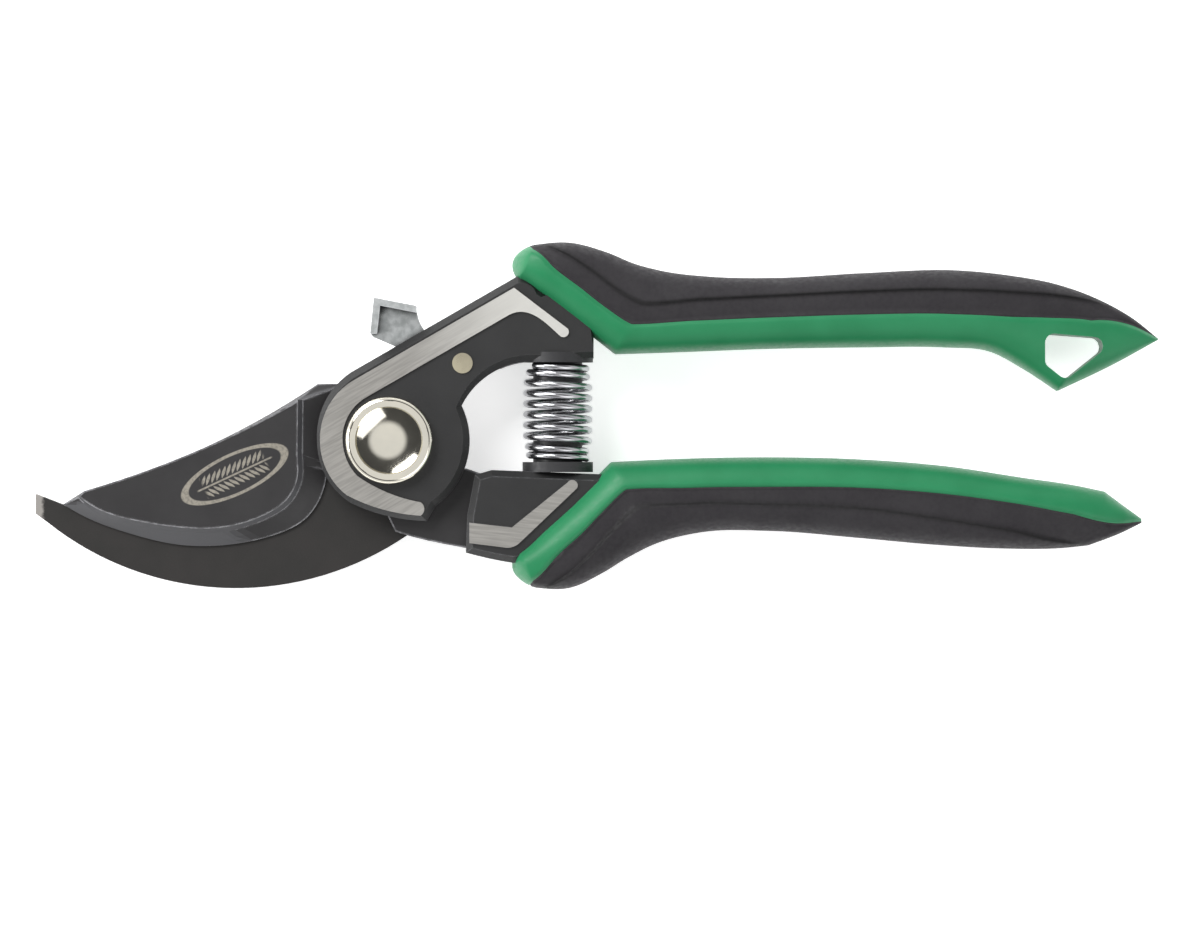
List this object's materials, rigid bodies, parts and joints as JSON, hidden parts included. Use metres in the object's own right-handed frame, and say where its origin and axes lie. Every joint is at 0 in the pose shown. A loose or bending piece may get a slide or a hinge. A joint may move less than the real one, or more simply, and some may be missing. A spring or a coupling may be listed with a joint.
{
  "type": "pruning shears",
  "caption": "Hand pruning shears: a curved bypass blade passes a hooked counter-blade; two-tone grips, an opening coil spring and a thumb catch.",
  "frame": {"origin": "on the pivot axis, at the flat end of the pivot bolt in the plane the shears lie on", "axes": "+X from the pivot back along the handles, +Y towards the upper lever, +Z along the pivot axis from the nut to the bolt head"},
  "size_m": [0.21, 0.0648, 0.018],
  "materials": {
    "forging_black": "satin",
    "hook_steel": "satin",
    "blade_steel": "satin",
    "green_plastic": "satin",
    "black_rubber": "matte",
    "black_plastic": "matte",
    "spring_steel": "polished",
    "chrome": "polished",
    "zinc_steel": "satin",
    "catch_steel": "satin",
    "bronze": "satin",
    "brass": "satin"
  },
  "bodies": {
    "upper_lever": {"upper_handle": "forging_black", "hook": "hook_steel", "hook_rivets": "zinc_steel", "upper_grip_base": "green_plastic", "upper_grip_pad": "black_rubber", "upper_spring_seat": "black_plastic", "coil_spring": "spring_steel", "pivot_bolt": "chrome", "pivot_bush": "bronze", "thrust_washer": "bronze", "pivot_lock_washer": "zinc_steel", "pivot_nut": "zinc_steel", "catch_pin": "brass", "catch_washer": "bronze"},
    "lower_lever": {"blade": "blade_steel", "blade_screws": "zinc_steel", "lower_handle": "forging_black", "lower_grip_base": "green_plastic", "lower_grip_pad": "black_rubber", "lower_spring_seat": "black_plastic"},
    "catch": {"catch_plate": "catch_steel"}
  },
  "joints": [
    {"name": "handle_pivot", "type": "hinge", "parent": "upper_lever", "child": "lower_lever", "pos_m": [0, 0, 0], "axis": [0, 0, -1], "range_deg": [0, 32], "deforming": ["coil_spring"]},
    {"name": "catch_pivot", "type": "hinge", "parent": "upper_lever", "child": "catch", "pos_m": [0.0136, 0.01439, 0], "axis": [0, 0, 1], "range_deg": [0, 12]}
  ]
}
